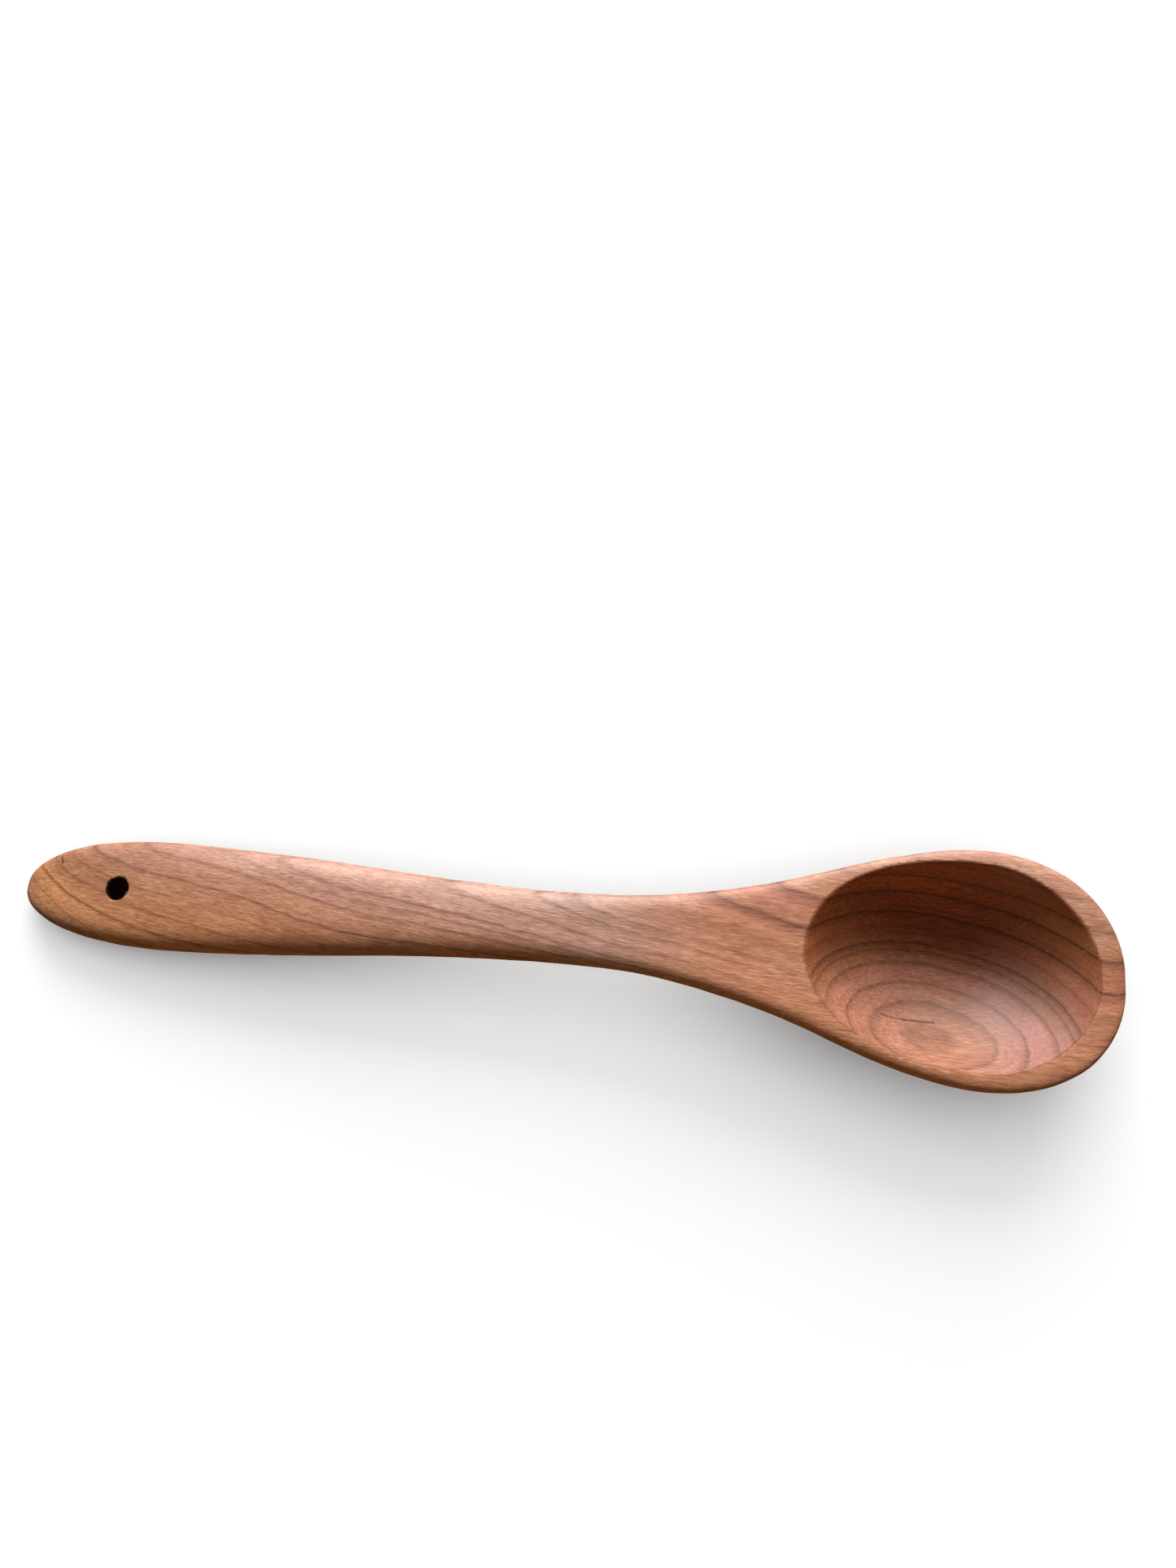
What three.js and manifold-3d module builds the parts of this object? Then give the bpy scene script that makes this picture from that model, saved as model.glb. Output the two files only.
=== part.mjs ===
// A carved cherry serving spoon, cut from one billet, with a drilled hole to hang it by.
// Millimetres. +X runs from the end of the handle to the front of the bowl, +Z is up, and
// the spoon lies on z = 0 on the bottom of its bowl and the underside of the handle end.
import * as THREE from 'three';
import { LoftGeometry } from 'three/addons/geometries/LoftGeometry.js';
import { mergeVertices } from 'three/addons/utils/BufferGeometryUtils.js';
import Module from 'manifold-3d';

// Overall size
const LENGTH = 285;
const HANDLE_END_RADIUS = 5.9;    // in plan, at the very end of the handle
const BOWL_FRONT_RADIUS = 30.6;   // in plan, at the very front of the bowl

// Half width at every tenth of the length, between the two ends
const HALF_WIDTHS = [13.7, 13.8, 12.1, 10.1, 9.0, 10.5, 16.7, 26.2, 29.7];
// Height of the widest line above the table, at every tenth from end to end
const EDGE_HEIGHTS = [4.8, 7.5, 10.7, 14.3, 17.4, 19.6, 21.6, 22.2, 21.4, 20.9, 21.8];
// How far the top rises above that line, and how far the underside drops below it
const CROWNS = [4.6, 5.4, 5.8, 5.8, 5.4, 4.8, 4.2, 4.0, 4.0, 4.0, 4.0];
const KEELS = [6.3, 7.1, 7.0, 7.0, 7.2, 8.0, 9.6, 13.6, 19.6, 21.9, 22.4];
// Squareness of the top and of the underside: 2 is an oval, 4 is flat with rounded corners
const TOP_SQUARENESS = [2.2, 2.2, 2.3, 2.4, 2.6, 3.0, 3.4, 3.8, 4.0, 4.0, 4.0];
const UNDER_SQUARENESS = [2.2, 2.2, 2.2, 2.2, 2.2, 2.2, 2.1, 2.0, 1.9, 1.85, 1.85];
// The ends round off over these parts of the length
const HANDLE_ROUND = 0.07;
const BOWL_ROUND = 0.13;

// The hollow of the bowl: an egg, blunt at the front, with sides that slope in gently.
// Its middle is above the rim, and its deepest point is a little nearer the handle.
const HOLLOW = {
  x: 111.3, back: 47.7, front: 25, half: 26.4, taper: -0.18,
  rim: 25.7, depth: 19.5, lift: 0.64, lean: 3.8,
};

// The hole drilled straight through the handle
const HOLE = { x: -115, radius: 3.175 };

const STATIONS = 54;
const AROUND = 44;

const along = values => {
  const at = values.map((v, i) => i / (values.length - 1));
  const curve = new THREE.CubicInterpolant(at, values, 1, [0]);
  return s => curve.evaluate(s)[0];
};

// Half width over sqrt(s(1 - s)) is smooth right to the ends, where it sets the end radius
const fullness = along([
  Math.sqrt(2 * LENGTH * HANDLE_END_RADIUS),
  ...HALF_WIDTHS.map((w, i) => w / Math.sqrt((i + 1) * (9 - i) / 100)),
  Math.sqrt(2 * LENGTH * BOWL_FRONT_RADIUS),
]);
const halfWidth = s => fullness(s) * Math.sqrt(s * (1 - s));
const edge = along(EDGE_HEIGHTS);
const crown = along(CROWNS);
const keel = along(KEELS);
const topSquareness = along(TOP_SQUARENESS);
const underSquareness = along(UNDER_SQUARENESS);

const signedPower = (v, p) => Math.sign(v) * Math.abs(v) ** p;

function section(s) {
  const end = Math.max(0, 1 - s / HANDLE_ROUND);
  const nose = Math.max(0, 1 - (1 - s) / BOWL_ROUND);
  const rise = crown(s) * Math.sqrt(1 - end ** 2) * (1 - nose ** 4) ** 0.25;
  const drop = keel(s) * Math.sqrt(1 - end ** 2) * Math.sqrt(1 - nose ** 2);
  const points = [];
  for (let i = 0; i < AROUND; i++) {
    const angle = i / AROUND * Math.PI * 2;
    const up = Math.sin(angle) > 0;
    const power = 2 / (up ? topSquareness(s) : underSquareness(s));
    points.push(new THREE.Vector3(
      (s - 0.5) * LENGTH,
      halfWidth(s) * signedPower(Math.cos(angle), power),
      edge(s) + (up ? rise : drop) * signedPower(Math.sin(angle), power),
    ));
  }
  return points;
}

function carvedBody() {
  const sections = [];
  for (let i = 0; i <= STATIONS; i++) {
    const s = (1 - Math.cos(Math.PI * (0.012 + 0.976 * i / STATIONS))) / 2;
    sections.push(section(s));
  }
  // The last sections close each end with a flat a fraction of a millimetre across
  sections.unshift(section(0.00004));
  sections.push(section(0.99996));
  return new LoftGeometry(sections, { capStart: true, capEnd: true });
}

function bowlHollow() {
  const tall = HOLLOW.depth / (1 - HOLLOW.lift);
  const wide = 1 / Math.sqrt(1 - HOLLOW.lift ** 2);
  const ball = new THREE.SphereGeometry(1, 52, 32);
  ball.rotateX(Math.PI / 2);
  const position = ball.attributes.position;
  const p = new THREE.Vector3();
  for (let i = 0; i < position.count; i++) {
    p.fromBufferAttribute(position, i);
    const z = tall * (p.z + HOLLOW.lift);
    position.setXYZ(
      i,
      HOLLOW.x + wide * p.x * (p.x > 0 ? HOLLOW.front : HOLLOW.back)
        + HOLLOW.lean * Math.min(z, 0) / HOLLOW.depth,
      wide * HOLLOW.half * p.y * (1 + HOLLOW.taper * p.x),
      HOLLOW.rim + z,
    );
  }
  return ball;
}

const wasm = await Module();
wasm.setup();

function solid(geometry) {
  const plain = new THREE.BufferGeometry().copy(geometry);
  plain.deleteAttribute('normal');
  plain.deleteAttribute('uv');
  const welded = mergeVertices(plain, 1e-4);
  return new wasm.Manifold(new wasm.Mesh({
    numProp: 3,
    vertProperties: new Float32Array(welded.attributes.position.array),
    triVerts: new Uint32Array(welded.index.array),
  }));
}

function geometryOf(manifold) {
  const mesh = manifold.getMesh();
  const geometry = new THREE.BufferGeometry();
  geometry.setAttribute('position', new THREE.BufferAttribute(mesh.vertProperties, 3));
  geometry.setIndex(new THREE.BufferAttribute(mesh.triVerts, 1));
  geometry.computeVertexNormals();
  return geometry;
}

// Everything below the table is planed off, which leaves the two small flats it rests on
const belowTable = new THREE.BoxGeometry(2 * LENGTH, 200, 20).translate(0, 0, -10);
const drill = new THREE.CylinderGeometry(HOLE.radius, HOLE.radius, 60, 40)
  .rotateX(Math.PI / 2).translate(HOLE.x, 0, 10);

const carved = solid(carvedBody())
  .subtract(solid(bowlHollow()))
  .subtract(solid(drill))
  .subtract(solid(belowTable));

const spoon = new THREE.Mesh(
  geometryOf(carved),
  new THREE.MeshStandardMaterial({ color: 0xa9683c, roughness: 0.55 }),
);
spoon.name = 'spoon';

const group = new THREE.Group();
group.name = 'cherry_serving_spoon';
group.add(spoon);
export default group;
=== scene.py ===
"""A carved cherry serving spoon on a pale floor: the fine surface, the wood, the light and the camera."""
import math

import bmesh
import bpy
import numpy as np
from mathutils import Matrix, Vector


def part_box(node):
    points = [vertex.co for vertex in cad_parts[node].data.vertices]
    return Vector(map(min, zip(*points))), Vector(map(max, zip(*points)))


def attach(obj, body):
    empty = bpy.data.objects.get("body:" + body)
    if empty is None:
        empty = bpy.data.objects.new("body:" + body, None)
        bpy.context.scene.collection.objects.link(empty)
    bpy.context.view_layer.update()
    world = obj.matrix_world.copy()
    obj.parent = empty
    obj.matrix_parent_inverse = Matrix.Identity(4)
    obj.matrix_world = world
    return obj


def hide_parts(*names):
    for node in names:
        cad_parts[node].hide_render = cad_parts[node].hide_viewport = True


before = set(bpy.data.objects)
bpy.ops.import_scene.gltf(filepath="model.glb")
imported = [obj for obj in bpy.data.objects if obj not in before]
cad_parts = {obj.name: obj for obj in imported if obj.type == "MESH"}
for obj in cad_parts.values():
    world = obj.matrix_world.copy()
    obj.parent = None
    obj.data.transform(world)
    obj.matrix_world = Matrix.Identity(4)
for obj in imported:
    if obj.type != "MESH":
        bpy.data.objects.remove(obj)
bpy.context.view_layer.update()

# ---------------------------------------------------------------------------------------------
# The carved shape, in millimetres. Its outline, heights and hollow are the CAD solid's; its top
# is a little squarer than the solid's, and the hanging hole is a little narrower. The end radii, the
# half widths, the edge heights and the hollow's plan are rounded results of a separate program's fit
# to the photo's outline. The other values were chosen.
# ---------------------------------------------------------------------------------------------
LENGTH = 285.0
HANDLE_END_RADIUS = 5.9     # in plan, at the very end of the handle
BOWL_FRONT_RADIUS = 30.6    # in plan, at the very front of the bowl

# Half width at every tenth of the length, between the two ends
HALF_WIDTHS = [13.7, 13.8, 12.1, 10.1, 9.0, 10.5, 16.7, 26.2, 29.7]
# Height of the widest line above the table, at every tenth from end to end
EDGE_HEIGHTS = [4.8, 7.5, 10.7, 14.3, 17.4, 19.6, 21.6, 22.2, 21.4, 20.9, 21.8]
# How far the top rises above that line, and how far the underside drops below it
CROWNS = [4.6, 5.4, 5.8, 5.8, 5.4, 4.8, 4.2, 4.0, 4.0, 4.0, 4.0]
KEELS = [6.3, 7.1, 7.0, 7.0, 7.2, 8.0, 9.6, 13.6, 19.6, 21.9, 22.4]
# Squareness of the top and of the underside: 2 is an oval, 6 is nearly flat with rounded corners
TOP_SQUARENESS = [3.8, 3.8, 3.5, 3.1, 2.9, 3.0, 3.8, 5.0, 6.0, 6.0, 6.0]
UNDER_SQUARENESS = [2.2, 2.2, 2.2, 2.2, 2.2, 2.2, 2.1, 2.0, 1.9, 1.85, 1.85]
# The ends round off over these parts of the length
HANDLE_ROUND = 0.07
BOWL_ROUND = 0.13
# The hollow of the bowl: an egg, blunt at the front, with sides that slope in gently. Its middle is
# above the rim, and its deepest point is a little nearer the handle.
HOLLOW = dict(x=111.3, back=47.7, front=25.0, half=26.4, taper=-0.18,
              rim=25.7, depth=19.5, lift=0.64, lean=3.8)

# The hanging hole, and the waves of its ragged upper edge: their height, their number and their phase
HOLE_X, HOLE_RADIUS = -115.0, 3.0
HOLE_WAVES = [(0.10, 3, 0.6), (0.07, 7, 2.0), (0.05, 12, 0.0)]
# The raggedness starts at this height above the table, and is full this much higher
RAGGED_ABOVE, RAGGED_RISE = 11.0, 3.0

# How far each cut edge is rounded off
RIM_SOFT = 0.6
HOLE_SOFT = 0.35
FLAT_SOFT = 1.2

# The low waves that hand carving leaves: their height, their seed and their length
CARVING = [(0.10, 5, 34), (0.045, 8, 13)]
CARVING_IN_HOLLOW = 0.8
# Each is a sum of this many sine waves, divided so that it stays at about its stated length and height
WAVES_TO_A_RIPPLE = 9
RIPPLE_LENGTH, RIPPLE_SUM = 1.6, 4.2

# The growth rings: sheets that lie across the billet at an angle and bend along its length. The angles
# are in radians, at every sixth of the length, and the shifts are in mm, at every eighteenth. Both are
# rounded results of a separate program's fit to ring lines traced in the photo.
GRAIN_ANGLES = [0.85, 0.60, 0.50, 0.60, 0.74, 0.74, 0.79]
GRAIN_SHIFTS = [10.0, 4.9, 2.7, 2.2, 2.1, 1.8, 1.8, 1.9, 1.3, 0.1, -1.7, -3.3, -5.5, -8.3, -9.8, -11.5,
                -13.7, -14.4, -15.8]
GRAIN_HEIGHT = 15.0

# The fibres run at this slope across the handle, and straighten out around this place along X
FIBRE_SLOPE, FIBRE_STRAIGHT, FIBRE_BEND = 0.10, 40.0, 12.0

# The grid on which the surface is first found, and the room that the grid covers around the spoon
GRID = 0.595
ROOM_HALF_WIDTH, ROOM_HEIGHT = 30.6, 27
# Steps for measuring slopes and for the shading normals, and the limits on one move onto the surface
SLOPE_STEP, NORMAL_STEP = 0.03, 0.12
LEAST_SLOPE, LONGEST_MOVE = 0.04, 0.5
# Points this close to the opening's edge are moved onto it, as a part of the grid's step
RIM_REACH = 0.55
# Widths of the blends at the opening's edge and around the hole
EDGE_BLEND, BORE_BLEND = 0.5, 0.3

# The length of a millimetre in the frame's metres, and the middle of the spoon at the table's height
low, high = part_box("spoon")
MM = (high.x - low.x) / LENGTH
MIDDLE = Vector(((low.x + high.x) / 2, (low.y + high.y) / 2, low.z))


def along(values, s):
    """A smooth curve through evenly spaced values, at s from 0 to 1."""
    v = np.asarray(values, float)
    v = np.concatenate([[2 * v[0] - v[1]], v, [2 * v[-1] - v[-2]]])
    t = np.clip(s, 0, 1) * (len(v) - 3)
    i = np.minimum(t.astype(int), len(v) - 4)
    f = t - i
    a, b, c, d = v[i], v[i + 1], v[i + 2], v[i + 3]
    return b + f * ((c - a) + f * ((2 * a - 5 * b + 4 * c - d) + f * (3 * b - a - 3 * c + d))) / 2


# Half width over sqrt(s(1 - s)), which is smooth right to the ends, where it sets the end radius
TENTHS = np.arange(1, 10) / 10
FULLNESS = np.concatenate([
    [math.sqrt(2 * LENGTH * HANDLE_END_RADIUS)],
    np.array(HALF_WIDTHS) / np.sqrt(TENTHS * (1 - TENTHS)),
    [math.sqrt(2 * LENGTH * BOWL_FRONT_RADIUS)],
])


def body_level(p):
    """Below zero inside the uncut billet shape, above zero outside."""
    x, y, z = p[..., 0], p[..., 1], p[..., 2]
    s = x / LENGTH + 0.5
    c = np.clip(s, 1e-6, 1 - 1e-6)
    end = np.maximum(0, 1 - c / HANDLE_ROUND)
    nose = np.maximum(0, 1 - (1 - c) / BOWL_ROUND)
    dz = z - along(EDGE_HEIGHTS, c)
    up = dz > 0
    rise = along(CROWNS, c) * np.sqrt(1 - end ** 2) * (1 - nose ** 4) ** 0.25
    drop = along(KEELS, c) * np.sqrt((1 - end ** 2) * (1 - nose ** 2))
    n = np.where(up, along(TOP_SQUARENESS, c), along(UNDER_SQUARENESS, c))
    whole = np.sqrt(c * (1 - c))
    across = np.abs(y) / along(FULLNESS, c)
    upright = np.abs(dz) * whole / np.where(up, rise, drop)
    size = np.maximum(across, upright) + 1e-9
    reach = size * ((across / size) ** n + (upright / size) ** n) ** (1 / n)
    return reach ** 2 - s * (1 - s)


def hollow_level(p):
    """Below zero inside the egg that is carved out of the bowl."""
    h = HOLLOW
    tall = h["depth"] / (1 - h["lift"])
    wide = 1 / math.sqrt(1 - h["lift"] ** 2)
    z = p[..., 2] - h["rim"]
    qz = z / tall - h["lift"]
    dx = p[..., 0] - h["x"] - h["lean"] * np.minimum(z, 0) / h["depth"]
    qx = dx / (wide * np.where(dx > 0, h["front"], h["back"]))
    qy = p[..., 1] / (wide * h["half"] * (1 + h["taper"] * np.clip(qx, -1.5, 1.5)))
    return np.sqrt(qx ** 2 + qy ** 2 + qz ** 2) - 1


def ripple(p, seed, size):
    """Gentle irregularity, about -1 to 1, whose waves are about size millimetres long."""
    rng = np.random.default_rng(seed)
    total = 0
    for _ in range(WAVES_TO_A_RIPPLE):
        k = rng.normal(size=3) * 2 * math.pi / (size * RIPPLE_LENGTH)
        total = total + np.sin(p @ k + rng.uniform(0, 2 * math.pi))
    return total / RIPPLE_SUM


def slope(f, p, step=SLOPE_STEP):
    """The gradient of f at the points p."""
    steps = np.eye(3) * step
    return np.stack([f(p + e) - f(p - e) for e in steps], -1) / (2 * step)


def distance(f, p):
    """About how far the points p are outside the surface f = 0."""
    g = np.linalg.norm(slope(f, p), axis=-1)
    return f(p) / np.maximum(g, 1e-4)


def soft_max(a, b, r):
    """The larger of two distances, with the crease between them rounded off over about r."""
    h = np.clip(0.5 + 0.5 * (a - b) / r, 0, 1)
    return b + (a - b) * h + r * h * (1 - h)


def combine(body, hollow, p):
    """Distance outside the finished spoon, from the distances to the billet shape and the egg."""
    d = soft_max(body, -hollow, RIM_SOFT)
    turn = np.arctan2(p[..., 1], p[..., 0] - HOLE_X)
    ragged = sum(height * np.sin(count * turn + phase) for height, count, phase in HOLE_WAVES)
    near_top = np.clip((p[..., 2] - RAGGED_ABOVE) / RAGGED_RISE, 0, 1)
    bore = np.hypot(p[..., 0] - HOLE_X, p[..., 1]) - HOLE_RADIUS - ragged * near_top
    d = soft_max(d, -bore, HOLE_SOFT)
    return soft_max(d, -p[..., 2], FLAT_SOFT)


def spoon_level(p):
    """Distance outside the finished spoon, with the low waves left by carving."""
    worn = sum(height * ripple(p, seed, size) for height, seed, size in CARVING)
    return combine(distance(body_level, p) + worn, distance(hollow_level, p) + worn * CARVING_IN_HOLLOW, p)


def first_surface():
    """Finds the surface on a regular grid, as points and four-sided faces."""
    pad = 3 * GRID
    lo = np.array([-LENGTH / 2 - pad, -ROOM_HALF_WIDTH - pad, -pad])
    room = (LENGTH + 2 * pad, 2 * ROOM_HALF_WIDTH + 2 * pad, ROOM_HEIGHT + 2 * pad)
    axes = [lo[i] + GRID * np.arange(int(math.ceil(room[i] / GRID))) for i in range(3)]
    grid = np.stack(np.meshgrid(*axes, indexing="ij"), -1)
    parts = []
    for f in (body_level, hollow_level):
        v = f(grid)
        g = np.sqrt(sum(d ** 2 for d in np.gradient(v, GRID)))
        parts.append(v / np.maximum(g, 1e-3))
    value = combine(parts[0], parts[1], grid)
    inside = value < 0

    # A cell with corners on both sides holds one point: the middle of the crossings on its edges
    corners = sum(inside[i:i - 1 or None, j:j - 1 or None, k:k - 1 or None].astype(np.int8)
                  for i in (0, 1) for j in (0, 1) for k in (0, 1))
    active = (corners > 0) & (corners < 8)
    number = -np.ones(active.shape, int)
    number[active] = np.arange(active.sum())
    cell = np.stack(np.nonzero(active), -1)
    place = np.zeros((len(cell), 3))
    count = np.zeros(len(cell))
    for axis in range(3):
        others = [a for a in range(3) if a != axis]
        for i in (0, 1):
            for j in (0, 1):
                start = np.zeros(3, int)
                start[others] = i, j
                end = start.copy()
                end[axis] = 1
                a = value[tuple((cell + start).T)]
                b = value[tuple((cell + end).T)]
                crossing = (a < 0) != (b < 0)
                t = np.where(crossing, a / np.where(crossing, a - b, 1), 0)
                point = cell + start + t[:, None] * (end - start)
                place[crossing] += point[crossing]
                count[crossing] += 1
    points = lo + GRID * place / count[:, None]

    # Each grid edge that crosses the surface makes one face between the four cells around it
    faces = []
    for axis in range(3):
        u, v = (axis + 1) % 3, (axis + 2) % 3
        a = np.moveaxis(inside, (axis, u, v), (0, 1, 2))
        n = np.moveaxis(number, (axis, u, v), (0, 1, 2))
        leaving = a[:-1, 1:-1, 1:-1] & ~a[1:, 1:-1, 1:-1]
        entering = ~a[:-1, 1:-1, 1:-1] & a[1:, 1:-1, 1:-1]
        ring = [n[:, :-1, :-1], n[:, 1:, :-1], n[:, 1:, 1:], n[:, :-1, 1:]]
        faces.append(np.stack([r[leaving] for r in ring], -1))
        faces.append(np.stack([r[entering] for r in ring[::-1]], -1))
    return points, np.concatenate(faces)


def settle(points, f, rounds):
    """Moves points onto the surface f = 0."""
    for _ in range(rounds):
        g = slope(f, points)
        size = np.maximum((g ** 2).sum(-1, keepdims=True), LEAST_SLOPE)
        move = f(points)[:, None] * g / size
        points = points - np.clip(move, -LONGEST_MOVE, LONGEST_MOVE)
    return points


def relax(points, faces, f, rounds):
    """Evens out the faces while keeping every point on the surface."""
    size = len(points)
    a = faces.ravel()
    b = np.roll(faces, -1, 1).ravel()
    count = np.bincount(a, minlength=size) + np.bincount(b, minlength=size)
    for _ in range(rounds):
        total = np.stack([np.bincount(a, points[b, i], size) + np.bincount(b, points[a, i], size)
                          for i in range(3)], -1)
        points = settle(points + 0.5 * (total / count[:, None] - points), f, 1)
    return points


def past_rim(p):
    """Below zero on the hollow's wall, zero along the edge of the opening, above zero outside it."""
    return distance(hollow_level, p) + distance(body_level, p)


def snap_to_rim(points):
    """Moves the points nearest the edge of the opening onto it, so that faces meet along the edge."""
    near = np.abs(past_rim(points)) < RIM_REACH * GRID
    for _ in range(3):
        p = points[near]
        g = slope(past_rim, p)
        step = past_rim(p)[:, None] * g / (g ** 2).sum(-1, keepdims=True)
        points[near] = settle(p - np.clip(step, -GRID, GRID), spoon_level, 1)
    return points


def grain(p):
    """Along the spoon, across it within a growth ring, and outwards through the rings, in mm."""
    s = p[:, 0] / LENGTH + 0.5
    angle = along(GRAIN_ANGLES, s)
    z = p[:, 2] - GRAIN_HEIGHT
    depth = p[:, 1] * np.sin(angle) + z * np.cos(angle) - along(GRAIN_SHIFTS, s)
    across = p[:, 1] * np.cos(angle) - z * np.sin(angle)
    return np.stack([p[:, 0], across, depth], -1)


def fibres(p):
    """Along the fibres and across them, in mm: they drift a little towards -Y until the bowl begins."""
    drift = -FIBRE_SLOPE * FIBRE_BEND * np.logaddexp(0, (FIBRE_STRAIGHT - p[:, 0]) / FIBRE_BEND)
    return np.stack([p[:, 0], p[:, 1] + drift, p[:, 2]], -1)


def carved(p):
    """1 on the wall of the bowl's hollow, 0 on the rest, with a short blend at the edge between them."""
    return np.clip(0.5 - past_rim(p) / EDGE_BLEND, 0, 1)


def bored(p):
    """1 on the wall of the drilled hole, fading to 0 just outside it."""
    gap = np.hypot(p[:, 0] - HOLE_X, p[:, 1]) - HOLE_RADIUS
    return np.clip(1 - gap / BORE_BLEND, 0, 1)


def make_spoon():
    """The spoon's closed surface, with the places in the wood that its material reads."""
    points, faces = first_surface()
    points = settle(points, spoon_level, 2)
    points = relax(points, faces, spoon_level, 4)
    points = snap_to_rim(points)
    points = settle(points, spoon_level, 2)
    normals = slope(spoon_level, points, NORMAL_STEP)
    normals /= np.linalg.norm(normals, axis=-1, keepdims=True)
    place = np.array(MIDDLE) + points * MM

    mesh = bpy.data.meshes.new("cherry_spoon")
    mesh.vertices.add(len(points))
    mesh.vertices.foreach_set("co", place.astype(np.float32).ravel())
    mesh.loops.add(faces.size)
    mesh.loops.foreach_set("vertex_index", faces.astype(np.int32).ravel())
    mesh.polygons.add(len(faces))
    mesh.polygons.foreach_set("loop_start", np.arange(0, faces.size, 4, dtype=np.int32))
    mesh.update(calc_edges=True)
    mesh.validate()
    mesh.polygons.foreach_set("use_smooth", np.ones(len(mesh.polygons), bool))
    mesh.normals_split_custom_set_from_vertices(normals)
    for name, place_in in (("grain", grain), ("fibres", fibres)):
        layer = mesh.attributes.new(name, "FLOAT_VECTOR", "POINT")
        layer.data.foreach_set("vector", place_in(points).astype(np.float32).ravel())
    for name, share in (("carved", carved), ("bored", bored)):
        layer = mesh.attributes.new(name, "FLOAT", "POINT")
        layer.data.foreach_set("value", share(points).astype(np.float32))
    spoon = bpy.data.objects.new("cherry_spoon", mesh)
    bpy.context.scene.collection.objects.link(spoon)
    return spoon


# ---------------------------------------------------------------------------------------------
# Materials
# ---------------------------------------------------------------------------------------------
class Nodes:
    """A small helper to write a node tree as expressions."""

    def __init__(self, material):
        material.use_nodes = True
        self.tree = material.node_tree
        self.tree.nodes.clear()

    def add(self, kind, inputs=None, **settings):
        node = self.tree.nodes.new(kind)
        for key, value in settings.items():
            setattr(node, key, value)
        for key, value in (inputs or {}).items():
            self.feed(node.inputs[key], value)
        return node

    def feed(self, socket, value):
        if isinstance(value, bpy.types.NodeSocket):
            self.tree.links.new(value, socket)
        else:
            socket.default_value = value

    def attribute(self, name, output="Fac"):
        return self.add("ShaderNodeAttribute", attribute_name=name).outputs[output]

    def math(self, operation, *values, clamp=False):
        node = self.add("ShaderNodeMath", operation=operation, use_clamp=clamp)
        for socket, value in zip(node.inputs, values):
            self.feed(socket, value)
        return node.outputs[0]

    def product(self, *values):
        total = values[0]
        for value in values[1:]:
            total = self.math("MULTIPLY", total, value)
        return total

    def vector(self, operation, *values):
        node = self.add("ShaderNodeVectorMath", operation=operation)
        for socket, value in zip(node.inputs, values):
            self.feed(socket, value)
        return node.outputs[0]

    def noise(self, place, stretch, detail, rough, distort=0.0):
        """Noise with this many cells to a millimetre in each direction."""
        return self.add("ShaderNodeTexNoise", {
            "Vector": self.vector("MULTIPLY", place, stretch),
            "Scale": 1.0, "Detail": detail, "Roughness": rough, "Distortion": distort,
        }).outputs["Fac"]

    def between(self, value, a, b, to_a=0.0, to_b=1.0):
        """Maps the range from a to b onto the range from to_a to to_b, and stops at its ends."""
        return self.add("ShaderNodeMapRange", {
            "Value": value, "From Min": a, "From Max": b, "To Min": to_a, "To Max": to_b,
        }).outputs["Result"]

    def blend(self, factor, a, b):
        """A value between a and b."""
        return self.add("ShaderNodeMix", {"Factor": factor, "A": a, "B": b}).outputs[0]

    def mix(self, factor, a, b, blend="MIX"):
        """A colour between a and b."""
        node = self.add("ShaderNodeMix", data_type="RGBA", blend_type=blend, clamp_factor=True)
        self.feed(node.inputs["Factor"], factor)
        self.feed(node.inputs[6], a)
        self.feed(node.inputs[7], b)
        return node.outputs[2]

    def times(self, colour, red, green, blue):
        """The colour with each channel multiplied."""
        factors = self.add("ShaderNodeCombineXYZ", {"X": red, "Y": green, "Z": blue}).outputs[0]
        return self.mix(1.0, colour, factors, "MULTIPLY")

    def ramp(self, value, stops):
        node = self.add("ShaderNodeValToRGB", {"Fac": value})
        elements = node.color_ramp.elements
        while len(elements) < len(stops):
            elements.new(1.0)
        for element, (position, colour) in zip(elements, stops):
            element.position = position
            element.color = colour
        return node.outputs["Color"]


# The dark line that ends each growth ring: its depth, how dark it is inside the bowl, on the rim and
# neck, and on the handle, and how far its soft shade reaches towards the inner side, in mm. Most depths
# began as results of that same fit, and the rest was chosen.
RINGS = [
    (-17.6, 0.22, 0.22, 0.34, 0.8), (-15.5, 0.11, 0.11, 0.30, 0.7), (-13.4, 0.22, 0.22, 0.57, 0.8),
    (-9.8, 0.22, 0.22, 0.84, 0.9), (-6.4, 0.22, 0.22, 0.62, 0.8), (-3.2, 0.11, 0.11, 0.43, 0.7),
    (-0.3, 0.32, 0.11, 0.71, 0.9), (1.65, 0.46, 0.11, 0.11, 0.7), (2.8, 0.03, 0.03, 0.52, 0.6),
    (4.2, 0.55, 0.17, 0.39, 0.8), (5.3, 0.03, 0.03, 0.55, 0.6), (7.7, 0.53, 0.26, 0.57, 0.9),
    (10.2, 0.48, 0.24, 0.57, 0.8), (11.8, 0.75, 0.42, 0.52, 1.0), (15.4, 0.42, 0.35, 0.23, 2.4),
    (19.5, 1.00, 0.88, 0.57, 2.2), (21.3, 0.35, 0.11, 0.11, 0.7), (25.2, 1.00, 0.81, 0.57, 2.0),
    (30.6, 0.94, 0.46, 0.34, 1.3), (35.5, 0.66, 0.39, 0.34, 1.2),
]
# Half the width of a line's dark core, in mm, and how dark the core's edges are in the same three places
RING_CORE = 0.25
RING_SHOULDER = np.array([0.40, 0.78, 0.34])
# The darkness of the outer edge and the reach of the outer shade, as parts of the inner side's
OUTER_SHOULDER, OUTER_SHADE = 0.8, 0.45
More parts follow.
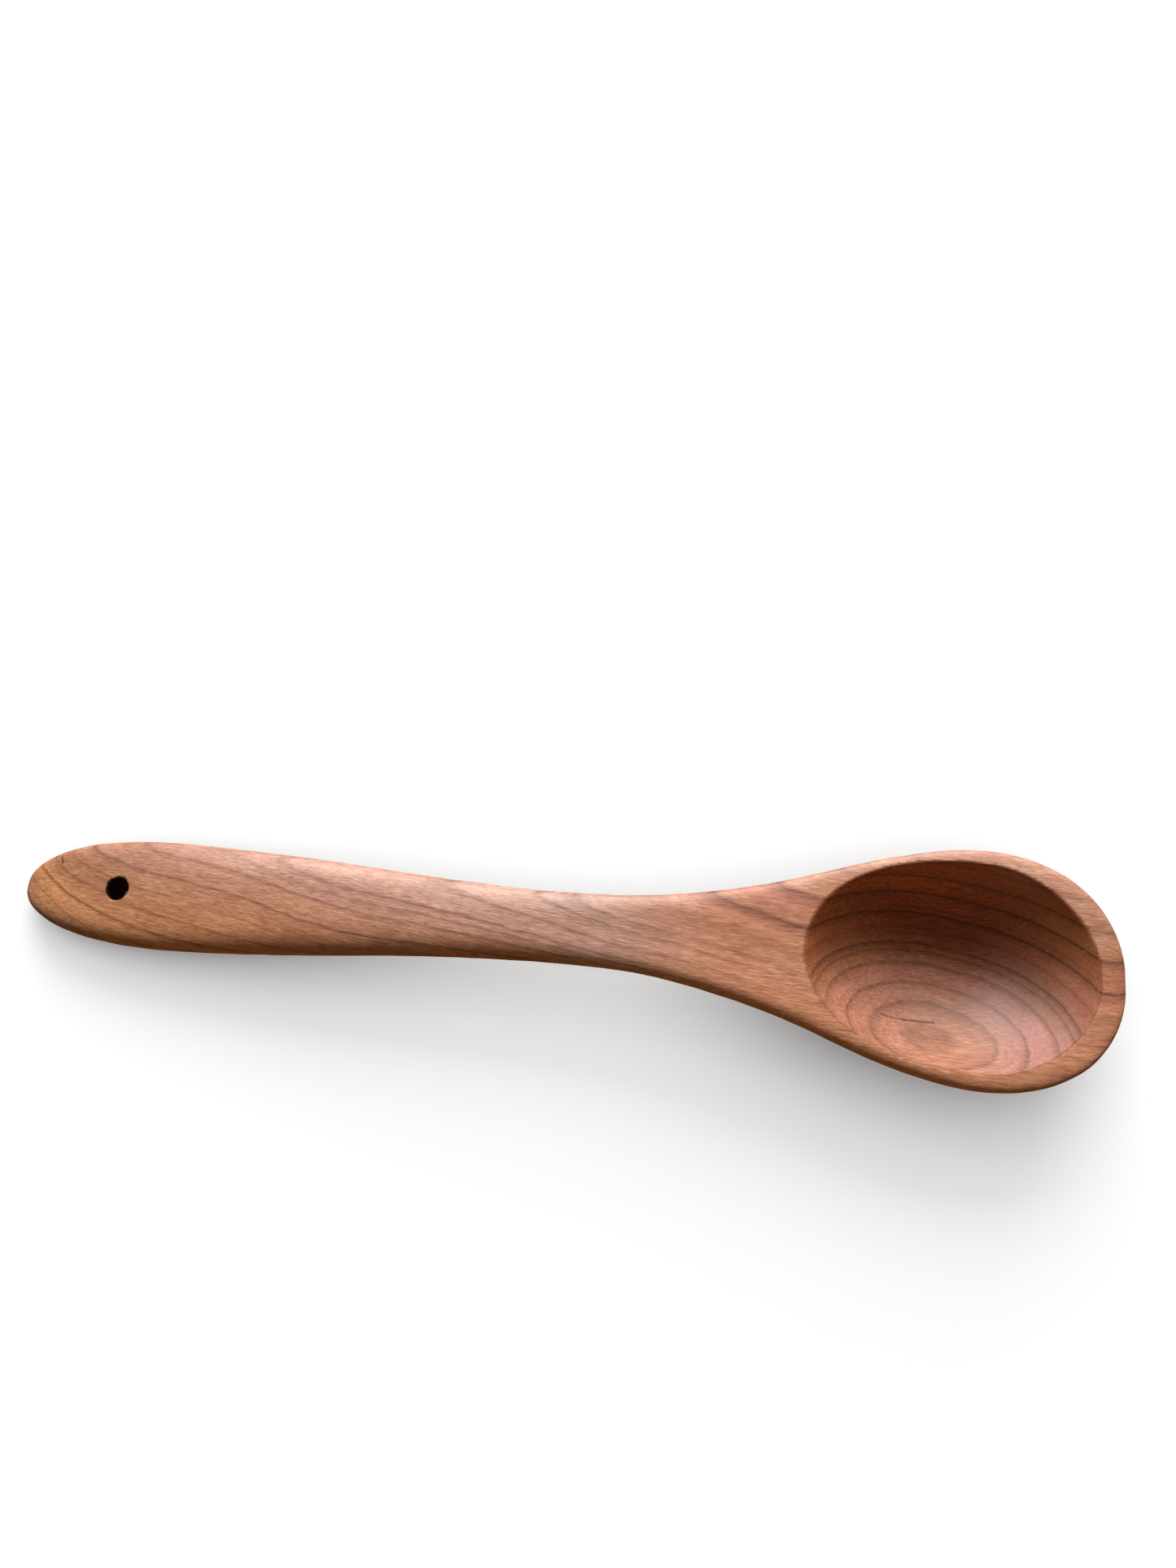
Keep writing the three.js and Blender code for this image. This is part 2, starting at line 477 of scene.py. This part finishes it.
# A colour ramp has few stops, so each holds this many rings, and reaches this far past them in mm
RINGS_PER_RAMP = 6
RAMP_MARGIN = 2.2

# The wood's colour at depths through the rings: in the hollow, on the rim and neck, on the handle.
# The hollow's tones are darker and redder than the rim's, most of all in the deep layers of its wall
# towards +Y: this is painted shade. The handle's tones hold a painted cool sheen on its side towards +Y
# and painted light on its side towards -Y near the end.
# These were chosen beside colours measured in the photo, and scaled until the renders agreed with it.
HOLLOW_TONES_WITH_PAINTED_SHADE = [
    (-1.0, (0.28, 0.12, 0.074)), (6.0, (0.33, 0.13, 0.084)), (9.6, (0.30, 0.12, 0.060)),
    (10.8, (0.26, 0.098, 0.047)), (14.0, (0.32, 0.10, 0.045)), (17.5, (0.35, 0.11, 0.042)),
    (20.8, (0.33, 0.095, 0.026)), (24.0, (0.37, 0.11, 0.029)), (28.5, (0.40, 0.12, 0.024)),
    (31.5, (0.31, 0.077, 0.014)), (36.0, (0.28, 0.063, 0.011)),
]
RIM_TONES = [
    (-16.0, (0.44, 0.18, 0.083)), (-6.0, (0.46, 0.19, 0.084)), (3.0, (0.52, 0.23, 0.13)),
    (6.5, (0.53, 0.23, 0.13)), (9.0, (0.47, 0.20, 0.12)), (14.0, (0.46, 0.20, 0.12)),
    (18.0, (0.44, 0.18, 0.11)), (21.0, (0.40, 0.16, 0.099)), (24.0, (0.39, 0.15, 0.097)),
    (27.0, (0.39, 0.18, 0.11)), (34.0, (0.39, 0.19, 0.13)),
]
# The bluer tones from 1.4 to 12 mm are a painted cool sheen on the handle's side towards +Y, and the paler
# tones from -16 to -7.8 mm are painted light on its side towards -Y, near the end
HANDLE_TONES_WITH_PAINTED_LIGHT = [
    (-16.0, (0.41, 0.19, 0.10)), (-11.5, (0.56, 0.25, 0.11)), (-7.8, (0.50, 0.21, 0.098)),
    (-5.0, (0.43, 0.18, 0.091)), (-2.8, (0.42, 0.18, 0.093)), (1.4, (0.46, 0.22, 0.14)),
    (5.0, (0.42, 0.22, 0.17)), (7.0, (0.45, 0.25, 0.20)), (12.0, (0.38, 0.22, 0.18)),
    (22.0, (0.35, 0.19, 0.14)), (34.0, (0.35, 0.19, 0.14)),
]
RING_BROWN = (0.100, 0.027, 0.011, 1)
# The hollow's ring lines are a darker brown: painted shade, as in its tones
HOLLOW_RING_BROWN = (0.040, 0.011, 0.005, 1)
GUM_BROWN = (0.050, 0.018, 0.014, 1)
PORE_BROWN = (0.21, 0.058, 0.024, 1)
# Nearly black painted shade on the wall of the hanging hole
BORE_PAINTED_SHADE = (0.030, 0.012, 0.007, 1)
GOLD = (0.72, 0.42, 0.21, 1)

# The bowl's colours take over from the handle's between these places along the length, in mm
HANDLE_TO_NECK = (8.0, 46.0)

# Noise that follows the growth rings, and noise that follows the fibres: the cells to a millimetre
# along X and in the two directions across it, the detail, the roughness and any distortion
WANDER = ((0.035, 0.07, 0.05), 2.0, 0.5)
SHIVER = ((0.16, 0.7, 0.4), 3.0, 0.5)
PATCH = ((0.022, 0.10, 0.10), 3.0, 0.6)
CLUSTER = ((0.055, 0.26, 0.26), 2.0, 0.5)
BAND = ((0.015, 0.06, 1.0), 3.0, 0.6)
FIBRE = ((0.14, 2.3, 1.3), 3.0, 0.66, 0.1)
HAIR = ((0.36, 5.0, 2.6), 2.0, 0.6)
FLECK = ((0.22, 4.2, 2.2), 1.0, 0.5)
PORE = ((0.62, 4.6, 2.4), 1.0, 0.5)
# The ranges that most of a noise's values lie in
MOST = (0.3, 0.7)
NEARLY_ALL = (0.28, 0.72)

# How far the ring lines and the tones wander, in mm
LINE_WANDER, LINE_SHIVER, TONE_SHIVER = 0.14, 0.09, 0.8
# Broad patches are a little browner or a little paler, with a blend over this range of their noise
PATCH_RANGE = (0.38, 0.62)
BROWN_PATCH = (0.91, 0.86, 0.79, 1)
PALE_PATCH = (1.07, 1.09, 1.08, 1)
# How dark and how light the bands within a ring, the fibres and the hairlines are
BAND_SHADE = (0.84, 1.14)
FIBRE_SHADE = (0.74, 1.24)
HAIR_SHADE = (0.54, 1.46)
# How much the red, green and blue follow that shading: pale fibres are less red than dark ones
FIBRE_POWERS = (0.74, 1.0, 1.24)
# In the hollow, the texture grows stronger by this much over these depths, and fades to this strength
# over these places along X, towards the front wall, which is end grain. The front wall's bluer, less
# yellow tint is a painted cool sheen
DEEP_WOOD, DEEP_STRENGTH = (12, 22), 0.6
FRONT_WALL, FRONT_STRENGTH = (104, 128), 0.50
FRONT_WALL_COOL_SHEEN = (0.86, 1.00, 1.42, 1)
# The handle grows darker towards its end, over these places along X, but less so past these ring
# depths, on its lower side: that lesser darkening is painted light
END_PLACES, END_SHADE = (-128, -75), (0.72, 0.98)
END_DEPTHS, END_LOWER_SIDE_PAINTED_LIGHT = (-7.5, -11), (0.70, 0.92)
# Golden flecks and dark pores show where their noise is over these ranges. The flecks are fainter
# outside their clusters, and fainter again in the hollow.
FLECK_RANGE, PORE_RANGE = (0.56, 0.67), (0.61, 0.72)
CLUSTER_RANGE, FLECK_STRENGTH = (0.50, 0.62), (0.07, 0.42)
FLECK_IN_HOLLOW, PORE_STRENGTH = 0.30, 0.42
# A ring line is dark where it crosses dark fibres and fainter where it crosses pale ones
LINE_BREAKS, LINE_BROKEN = (0.34, 0.64), (1.05, 0.74)
# The sharp edge of the opening is rougher, and darkened with painted shade
EDGE_PAINTED_SHADE, EDGE_ROUGH = 0.40, 0.3
# The gloss of the oiled wood, which is dull at that edge and in the hanging hole
ROUGHNESS = (0.42, 0.60)
SPECULAR, DULL_SPECULAR = 0.4, 0.05
# The relief of the fibres: the parts of the two noises in it, its strength, and its height in metres
FIBRE_RELIEF, HAIR_RELIEF = 0.7, 0.3
RELIEF_STRENGTH, RELIEF_HEIGHT = 0.35, 0.00012

# Short marks as chains of points along the grain, across it and in depth, with their half widths in mm
# and their darkness: a gum streak in the bowl, in two parts, and a nick at the end of the handle
MARKS = [
    ([(84.6, -8.85, 1.2), (87.5, -8.65, 0.75), (91.0, -8.2, 0.3)], 0.46, 0.66),
    ([(90.4, -8.2, 0.3), (94.5, -7.5, 0.05), (98.8, -6.75, 0.1)], 0.54, 0.84),
    ([(-132.9, 9.45, -5.4), (-132.3, 7.8, -5.7)], 0.50, 0.85),
]
MARK_CORE = 0.3         # the part of a mark's half width that is fully dark


def ring_lines(n, depth):
    """Darkness of the ring lines at a depth: in the hollow (R), on the rim (G) and on the handle (B)."""
    total = (0, 0, 0, 1)
    for start in range(0, len(RINGS), RINGS_PER_RAMP):
        group = RINGS[start:start + RINGS_PER_RAMP]
        first, last = group[0][0] - RAMP_MARGIN, group[-1][0] + RAMP_MARGIN
        stops = []
        for at, hollow, rim, handle, shade in group:
            dark = np.array([hollow, rim, handle])
            stops += [
                (at - shade, 0 * dark),
                (at - RING_CORE, RING_SHOULDER * dark),
                (at, dark),
                (at + RING_CORE, RING_SHOULDER * dark * OUTER_SHOULDER),
                (at + OUTER_SHADE * shade, 0 * dark),
            ]
        stops.sort(key=lambda stop: stop[0])
        part = n.ramp(n.between(depth, first, last),
                      [((at - first) / (last - first), (*dark, 1)) for at, dark in stops])
        total = n.mix(1.0, total, part, "LIGHTEN")
    return total


def tones(n, depth, table):
    """The colour at a depth, from a table of tones; the hollow's holds painted shade and the handle's
    painted light.
    """
    first, last = table[0][0], table[-1][0]
    stops = [((at - first) / (last - first), (*colour, 1)) for at, colour in table]
    return n.ramp(n.between(depth, first, last), stops)


def streak_near(n, place, points, width):
    """1 on the chain of points, fading to 0 at the given half width."""
    nearest = None
    for a, b in zip(points, points[1:]):
        a, b = Vector(a), Vector(b)
        step = b - a
        offset = n.vector("SUBTRACT", place, tuple(a))
        along_it = n.add("ShaderNodeVectorMath", {0: offset, 1: tuple(step / step.length_squared)},
                         operation="DOT_PRODUCT").outputs["Value"]
        reached = n.between(along_it, 0, 1)
        closest = n.add("ShaderNodeVectorMath", {0: tuple(step), "Scale": reached},
                        operation="SCALE").outputs["Vector"]
        gap = n.add("ShaderNodeVectorMath", {0: offset, 1: closest}, operation="DISTANCE").outputs["Value"]
        nearest = gap if nearest is None else n.math("MINIMUM", nearest, gap)
    return n.between(nearest, width, MARK_CORE * width)


def textured(n, colour, rings, depth, hollow, front_wall, fibre, hair):
    """The colour with its broad patches, the bands within the rings, the fibres and the hairlines."""
    patch = n.between(n.noise(rings, *PATCH), *PATCH_RANGE)
    colour = n.mix(1.0, colour, n.mix(patch, BROWN_PATCH, PALE_PATCH), "MULTIPLY")
    shade = n.product(n.between(n.noise(rings, *BAND), *MOST, *BAND_SHADE),
                      n.between(fibre, *NEARLY_ALL, *FIBRE_SHADE),
                      n.between(hair, *NEARLY_ALL, *HAIR_SHADE))
    deep = n.product(hollow, n.between(depth, *DEEP_WOOD, 0.0, DEEP_STRENGTH))
    strength = n.product(n.math("ADD", 1.0, deep), n.between(front_wall, 0, 1, 1.0, FRONT_STRENGTH))
    return n.times(colour, *(n.math("POWER", shade, n.product(strength, power)) for power in FIBRE_POWERS))


def darker_end(n, colour, x, depth):
    """The colour, darker towards the end of the handle, with painted light keeping its lower side paler.
    """
    shade = n.math("MAXIMUM", n.between(x, *END_PLACES, *END_SHADE),
                   n.between(depth, *END_DEPTHS, *END_LOWER_SIDE_PAINTED_LIGHT))
    return n.times(colour, shade, shade, shade)


def flecked(n, colour, rings, strands, hollow):
    """The colour with golden flecks, which come in clusters, and dark pores."""
    gold = n.product(n.between(n.noise(strands, *FLECK), *FLECK_RANGE),
                     n.between(n.noise(rings, *CLUSTER), *CLUSTER_RANGE, *FLECK_STRENGTH),
                     n.between(hollow, 0, 1, 1.0, FLECK_IN_HOLLOW))
    colour = n.mix(gold, colour, GOLD)
    pores = n.product(n.between(n.noise(strands, *PORE), *PORE_RANGE), PORE_STRENGTH)
    return n.mix(pores, colour, PORE_BROWN)


def cherry_material():
    """Oiled cherry: its rings, tones and marks follow the places that the surface carries."""
    material = bpy.data.materials.new("oiled_cherry")
    n = Nodes(material)
    rings = n.attribute("grain", "Vector")
    strands = n.attribute("fibres", "Vector")
    hollow = n.attribute("carved")
    bore = n.attribute("bored")
    parts = n.add("ShaderNodeSeparateXYZ", {"Vector": rings}).outputs
    bowl = n.add("ShaderNodeMapRange", {
        "Value": parts["X"], "From Min": HANDLE_TO_NECK[0], "From Max": HANDLE_TO_NECK[1],
    }, interpolation_type="SMOOTHSTEP").outputs["Result"]

    # The ring lines and the tones wander a little
    shiver = n.noise(rings, *SHIVER)
    depth = n.math("ADD", parts["Z"], n.between(n.noise(rings, *WANDER), *MOST, -LINE_WANDER, LINE_WANDER))
    depth = n.math("ADD", depth, n.between(shiver, *MOST, -LINE_SHIVER, LINE_SHIVER))
    soft_depth = n.math("ADD", depth, n.between(shiver, *MOST, -TONE_SHIVER, TONE_SHIVER))
    lines = n.add("ShaderNodeSeparateColor", {"Color": ring_lines(n, depth)}).outputs
    line = n.blend(hollow, n.blend(bowl, lines["Blue"], lines["Green"]), lines["Red"])
    # The handle's tones carry a painted cool sheen and painted light
    outside = n.mix(bowl, tones(n, soft_depth, HANDLE_TONES_WITH_PAINTED_LIGHT), tones(n, soft_depth, RIM_TONES))
    # The hollow's tones hold painted shade, darkest on its wall towards +Y
    colour = n.mix(hollow, outside, tones(n, soft_depth, HOLLOW_TONES_WITH_PAINTED_SHADE))

    fibre = n.noise(strands, *FIBRE)
    hair = n.noise(strands, *HAIR)
    front_wall = n.product(n.between(parts["X"], *FRONT_WALL), hollow)
    colour = textured(n, colour, rings, depth, hollow, front_wall, fibre, hair)
    colour = darker_end(n, colour, parts["X"], depth)
    # A bluer tint on the hollow's front wall: painted cool sheen
    colour = n.mix(front_wall, colour, n.mix(1.0, colour, FRONT_WALL_COOL_SHEEN, "MULTIPLY"))
    colour = flecked(n, colour, rings, strands, hollow)
    broken = n.between(fibre, *LINE_BREAKS, *LINE_BROKEN)
    # The ring lines: in the hollow a darker brown, which is painted shade
    colour = n.mix(n.product(line, broken), colour, n.mix(hollow, RING_BROWN, HOLLOW_RING_BROWN))
    for points, width, dark in MARKS:
        colour = n.mix(n.product(streak_near(n, rings, points, width), dark), colour, GUM_BROWN)
    edge = n.product(hollow, n.math("SUBTRACT", 1.0, hollow), 4.0)
    # Painted shade along the edge of the opening, in the ring lines' brown
    colour = n.mix(n.product(edge, EDGE_PAINTED_SHADE), colour, RING_BROWN)
    # Painted shade darkens the wall of the hanging hole
    colour = n.mix(bore, colour, BORE_PAINTED_SHADE)

    relief = n.math("ADD", n.product(fibre, FIBRE_RELIEF), n.product(hair, HAIR_RELIEF))
    bump = n.add("ShaderNodeBump", {
        "Height": relief, "Strength": RELIEF_STRENGTH, "Distance": RELIEF_HEIGHT,
    })
    rough = n.math("ADD", n.between(fibre, *MOST, *ROUGHNESS), n.product(edge, EDGE_ROUGH), clamp=True)
    shader = n.add("ShaderNodeBsdfPrincipled", {
        "Base Color": colour, "Roughness": rough, "Normal": bump.outputs[0], "IOR": 1.5,
        "Specular IOR Level": n.between(n.math("MAXIMUM", bore, edge), 0, 1, SPECULAR, DULL_SPECULAR),
    })
    n.add("ShaderNodeOutputMaterial", {"Surface": shader.outputs[0]})
    return material


def floor_material():
    material = bpy.data.materials.new("pale_floor")
    n = Nodes(material)
    shader = n.add("ShaderNodeBsdfPrincipled", {
        "Base Color": (0.300, 0.303, 0.307, 1), "Roughness": 0.9, "Specular IOR Level": 0.1,
    })
    n.add("ShaderNodeOutputMaterial", {"Surface": shader.outputs[0]})
    return material


def backdrop_material():
    material = bpy.data.materials.new("pale_backdrop")
    n = Nodes(material)
    glow = n.add("ShaderNodeEmission", {"Color": (0.76, 0.76, 0.755, 1), "Strength": 1.0})
    n.add("ShaderNodeOutputMaterial", {"Surface": glow.outputs[0]})
    return material


# ---------------------------------------------------------------------------------------------
# The floor, the backdrop, the camera and the lights
# ---------------------------------------------------------------------------------------------
# Half the size of the floor, the gap between it and the spoon, and the lights' distance, in metres
STAGE_RADIUS = 9.0
FLOOR_GAP = 0.0002
LIGHTS_AWAY = 1.8

# The camera's place from the middle of the spoon, in mm, its angles in degrees and its lens in mm,
# rounded from the fit to the photo's outline
CAMERA_PLACE = (16.2, -56.4, 314.6)
CAMERA_ANGLES = (18.0, 0.235, 5.80)
CAMERA_LENS, CAMERA_SENSOR = 27.03, 36


def make_floor():
    """A pale floor that is seen but throws no light back, so that the wood's lower edges stay dark."""
    r = STAGE_RADIUS
    mesh = bpy.data.meshes.new("floor")
    mesh.from_pydata([(-r, -r, 0), (r, -r, 0), (r, r, 0), (-r, r, 0)], [], [(0, 1, 2, 3)])
    mesh.materials.append(floor_material())
    floor = bpy.data.objects.new("floor", mesh)
    floor.location.z = low.z - FLOOR_GAP
    floor.visible_diffuse = False
    floor.visible_glossy = False
    bpy.context.scene.collection.objects.link(floor)
    return floor


def make_backdrop():
    """A pale dome behind everything, which only the camera sees."""
    dome = bmesh.new()
    bmesh.ops.create_uvsphere(dome, u_segments=48, v_segments=24, radius=STAGE_RADIUS)
    mesh = bpy.data.meshes.new("backdrop")
    dome.to_mesh(mesh)
    dome.free()
    mesh.materials.append(backdrop_material())
    backdrop = bpy.data.objects.new("backdrop", mesh)
    for ray in ("diffuse", "glossy", "transmission", "shadow", "volume_scatter"):
        setattr(backdrop, "visible_" + ray, False)
    bpy.context.scene.collection.objects.link(backdrop)
    return backdrop


def make_camera():
    """The camera, where the photo was taken from: above the spoon and a little towards -Y."""
    camera = bpy.data.objects.new("camera", bpy.data.cameras.new("camera"))
    camera.data.sensor_fit = "VERTICAL"
    camera.data.sensor_height = CAMERA_SENSOR
    camera.data.lens = CAMERA_LENS
    camera.data.clip_start = 0.02
    camera.location = MIDDLE + Vector(CAMERA_PLACE) * MM
    camera.rotation_euler = [math.radians(angle) for angle in CAMERA_ANGLES]
    bpy.context.scene.collection.objects.link(camera)
    return camera


def lamp_of(light):
    lamp = bpy.data.objects.new(light.name, light)
    bpy.context.scene.collection.objects.link(lamp)
    return lamp


def soft_light(name, azimuth, elevation, width, height, power, colour):
    """A rectangular light that faces the middle from the given direction in degrees."""
    light = bpy.data.lights.new(name, "AREA")
    light.shape = "RECTANGLE"
    light.size, light.size_y = width, height
    light.energy = power
    light.color = colour
    lamp = lamp_of(light)
    a, e = math.radians(azimuth), math.radians(elevation)
    direction = Vector((math.cos(a) * math.cos(e), math.sin(a) * math.cos(e), math.sin(e)))
    lamp.location = direction * LIGHTS_AWAY
    lamp.rotation_euler = direction.to_track_quat("Z", "Y").to_euler()
    return lamp


def overhead_light():
    """An even light from above."""
    light = bpy.data.lights.new("overhead", "SUN")
    light.energy = 7.4
    light.angle = math.radians(100)
    return lamp_of(light)


def lights_only(lamp, receiver, name):
    """Limits a light to one object."""
    group = bpy.data.collections.new(name)
    group.objects.link(receiver)
    lamp.light_linking.receiver_collection = group


def set_world():
    world = bpy.data.worlds.new("room")
    world.use_nodes = True
    background = world.node_tree.nodes["Background"]
    background.inputs["Color"].default_value = (1.0, 0.60, 0.27, 1)
    background.inputs["Strength"].default_value = 0.095
    bpy.context.scene.world = world


# ---------------------------------------------------------------------------------------------
# The scene
# ---------------------------------------------------------------------------------------------
spoon = make_spoon()
spoon.data.materials.append(cherry_material())
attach(spoon, "root")
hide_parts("spoon")

floor = make_floor()
backdrop = make_backdrop()
bpy.context.scene.camera = make_camera()

soft_light("window", azimuth=91, elevation=28, width=1.7, height=1.1, power=92, colour=(1.0, 0.98, 0.95))
soft_light("sky", azimuth=138, elevation=46, width=0.35, height=0.7, power=4, colour=(0.38, 0.72, 1.0))
low_fill = soft_light("low fill", azimuth=268, elevation=7, width=1.5, height=0.25, power=3.6,
                      colour=(1.0, 0.62, 0.30))
lights_only(low_fill, spoon, "spoon_only")
# This one keeps the floor pale in the spoon's shadow
lights_only(overhead_light(), floor, "floor_only")
set_world()
bpy.context.scene.view_settings.view_transform = "Standard"
